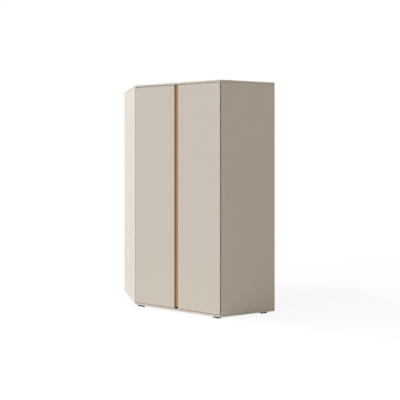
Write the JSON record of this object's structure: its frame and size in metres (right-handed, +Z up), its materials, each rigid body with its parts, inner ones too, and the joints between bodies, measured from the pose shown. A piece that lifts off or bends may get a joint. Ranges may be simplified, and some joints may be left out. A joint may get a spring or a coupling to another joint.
{
  "type": "corner wardrobe",
  "caption": "Full-height corner wardrobe with a diagonal front, two flat doors on either side of a gold-backed channel, a hat shelf and a hanging rail.",
  "frame": {"origin": "on the floor, under the middle of the plan box", "axes": "+Z up, -Y out of the diagonal front, +Y into the room corner, +X to the right seen from the front"},
  "size_m": [1.6444, 1.202, 2.12],
  "materials": {
    "cashmere_board": "matt cashmere-beige melamine, smooth, edges banded in the same colour",
    "back_board": "thin painted fibreboard in beige, rougher than the boards",
    "post_timber": "planed pine, unpainted",
    "gold_aluminium": "satin gold-anodised extrusion with fine lengthwise lines",
    "hinge_steel": "nickel-plated pressed steel, satin",
    "rail_steel": "polished chrome-plated tube",
    "foot_plastic": "moulded black plastic with a fine grain",
    "bumper_rubber": "soft off-white rubber"
  },
  "bodies": {
    "carcass": {"bottom_panel": "cashmere_board", "hanging_rail": "rail_steel", "hat_shelf": "cashmere_board", "left_back_panel": "back_board", "left_door_bumper": "bumper_rubber", "left_front_foot": "foot_plastic", "left_front_shelf_support": "hinge_steel", "left_hinge_arm_1": "hinge_steel", "left_hinge_arm_2": "hinge_steel", "left_hinge_arm_3": "hinge_steel", "left_hinge_arm_4": "hinge_steel", "left_rail_bracket": "hinge_steel", "left_rear_shelf_support": "hinge_steel", "left_side_foot": "foot_plastic", "left_side_panel": "cashmere_board", "post_shelf_support": "hinge_steel", "rear_corner_post": "post_timber", "rear_foot": "foot_plastic", "right_back_panel": "back_board", "right_door_bumper": "bumper_rubber", "right_front_foot": "foot_plastic", "right_front_shelf_support": "hinge_steel", "right_hinge_arm_1": "hinge_steel", "right_hinge_arm_2": "hinge_steel", "right_hinge_arm_3": "hinge_steel", "right_hinge_arm_4": "hinge_steel", "right_rail_bracket": "hinge_steel", "right_rear_shelf_support": "hinge_steel", "right_side_foot": "foot_plastic", "right_side_panel": "cashmere_board", "top_panel": "cashmere_board"},
    "left_door": {"left_door": "cashmere_board", "left_hinge_cup_1": "hinge_steel", "left_hinge_cup_2": "hinge_steel", "left_hinge_cup_3": "hinge_steel", "left_hinge_cup_4": "hinge_steel"},
    "right_door": {"right_channel_blade": "gold_aluminium", "right_door": "cashmere_board", "right_hinge_cup_1": "hinge_steel", "right_hinge_cup_2": "hinge_steel", "right_hinge_cup_3": "hinge_steel", "right_hinge_cup_4": "hinge_steel"},
    "left_arm_links": {"left_hinge_arm_link_1": "hinge_steel", "left_hinge_arm_link_2": "hinge_steel", "left_hinge_arm_link_3": "hinge_steel", "left_hinge_arm_link_4": "hinge_steel"},
    "right_arm_links": {"right_hinge_arm_link_1": "hinge_steel", "right_hinge_arm_link_2": "hinge_steel", "right_hinge_arm_link_3": "hinge_steel", "right_hinge_arm_link_4": "hinge_steel"},
    "left_cup_links": {"left_hinge_cup_link_1": "hinge_steel", "left_hinge_cup_link_2": "hinge_steel", "left_hinge_cup_link_3": "hinge_steel", "left_hinge_cup_link_4": "hinge_steel"},
    "right_cup_links": {"right_hinge_cup_link_1": "hinge_steel", "right_hinge_cup_link_2": "hinge_steel", "right_hinge_cup_link_3": "hinge_steel", "right_hinge_cup_link_4": "hinge_steel"}
  },
  "joints": [
    {"name": "left_door_hinge", "type": "hinge", "parent": "carcass", "child": "left_door", "pos_m": [-0.43936, -0.60097, 1.07], "axis": [0, 0, -1], "range_deg": [0, 110]},
    {"name": "left_arm_link_pivot", "type": "hinge", "parent": "carcass", "child": "left_arm_links", "pos_m": [-0.42836, -0.57693, 1.07], "axis": [0, 0, -1], "range_deg": [0, 97.91]},
    {"name": "left_cup_link_pivot", "type": "hinge", "parent": "left_door", "child": "left_cup_links", "pos_m": [-0.41101, -0.58347, 1.07], "axis": [0, 0, -1], "range_deg": [-97.18, 0]},
    {"name": "right_door_hinge", "type": "hinge", "parent": "carcass", "child": "right_door", "pos_m": [0.43936, -0.60097, 1.07], "axis": [0, 0, 1], "range_deg": [0, 110]},
    {"name": "right_arm_link_pivot", "type": "hinge", "parent": "carcass", "child": "right_arm_links", "pos_m": [0.42836, -0.57693, 1.07], "axis": [0, 0, 1], "range_deg": [0, 97.91]},
    {"name": "right_cup_link_pivot", "type": "hinge", "parent": "right_door", "child": "right_cup_links", "pos_m": [0.41101, -0.58347, 1.07], "axis": [0, 0, 1], "range_deg": [-97.18, 0]}
  ],
  "couplings": [
    {"joint": "left_arm_link_pivot", "follows": "left_door_hinge", "ratio": 0.88553},
    {"joint": "left_cup_link_pivot", "follows": "left_door_hinge", "ratio": -0.87892},
    {"joint": "right_arm_link_pivot", "follows": "right_door_hinge", "ratio": 0.88553},
    {"joint": "right_cup_link_pivot", "follows": "right_door_hinge", "ratio": -0.87892}
  ]
}
